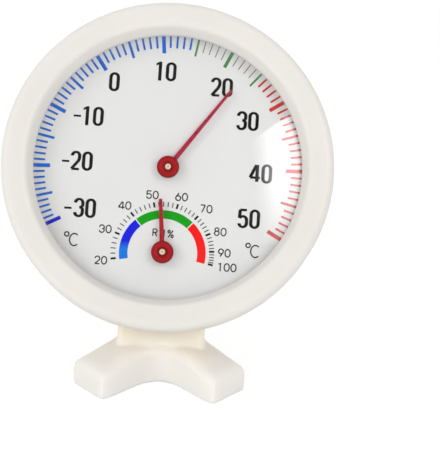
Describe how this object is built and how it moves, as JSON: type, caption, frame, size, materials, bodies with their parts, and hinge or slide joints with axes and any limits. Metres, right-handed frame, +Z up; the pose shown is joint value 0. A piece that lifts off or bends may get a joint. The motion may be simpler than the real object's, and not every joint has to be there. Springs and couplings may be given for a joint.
{
  "type": "dial thermo-hygrometer",
  "caption": "Round wall or desk dial thermometer with a small humidity dial, two red pointers, a domed lens, a moulded case and a slip-on splayed stand.",
  "frame": {"origin": "on the surface that the stand rests on, at the middle of the foot below the neck", "axes": "+Z up, the dial faces -Y and leans back 24 degrees, +X to the right of a person who reads it"},
  "size_m": [0.074, 0.0506, 0.0821],
  "materials": {
    "stand_plastic": "warm white moulded plastic, satin",
    "case_plastic": "warm white moulded plastic, satin",
    "clear_lens": "clear polished polystyrene",
    "dial_face": "pale grey enamel with printed scales",
    "pointer_red": "red lacquer",
    "cap_red": "dark red moulded plastic",
    "brass": "turned brass",
    "bracket_metal": "bent sheet strip",
    "bimetal": "rolled bimetal strip",
    "humidity_strip": "metal strip coated with a moisture-sensitive film"
  },
  "bodies": {
    "stand": {"stand_foot": "stand_plastic"},
    "case": {"front_bezel": "case_plastic", "rear_shell": "case_plastic", "lens": "clear_lens", "dial_plate": "dial_face", "temperature_bearing": "brass", "temperature_frame": "bracket_metal", "temperature_pivot_bush": "brass", "temperature_coil": "bimetal", "humidity_bearing": "brass", "humidity_frame": "bracket_metal", "humidity_pivot_bush": "brass", "humidity_coil": "humidity_strip"},
    "temperature_pointer": {"temperature_needle": "pointer_red", "temperature_hub": "cap_red", "temperature_spindle": "brass", "temperature_collet": "brass"},
    "humidity_pointer": {"humidity_needle": "pointer_red", "humidity_hub": "cap_red", "humidity_spindle": "brass", "humidity_collet": "brass"}
  },
  "joints": [
    {"name": "case_lift", "type": "slide", "parent": "stand", "child": "case", "axis": [0, 0.4067, 0.9135], "range_m": [0, 0.014]},
    {"name": "temperature_turn", "type": "hinge", "parent": "case", "child": "temperature_pointer", "pos_m": [0, 0.01105, 0.0464], "axis": [0, -0.9135, 0.4067], "range_deg": [-83.7, 153.9], "stiffness_Nm_per_rad": 0.00005, "deforming": ["temperature_coil"]},
    {"name": "humidity_turn", "type": "hinge", "parent": "case", "child": "humidity_pointer", "pos_m": [-0.00044, 0.00324, 0.02886], "axis": [0, -0.9135, 0.4067], "range_deg": [-105.8, 94.2], "stiffness_Nm_per_rad": 0.00005, "deforming": ["humidity_coil"]}
  ]
}
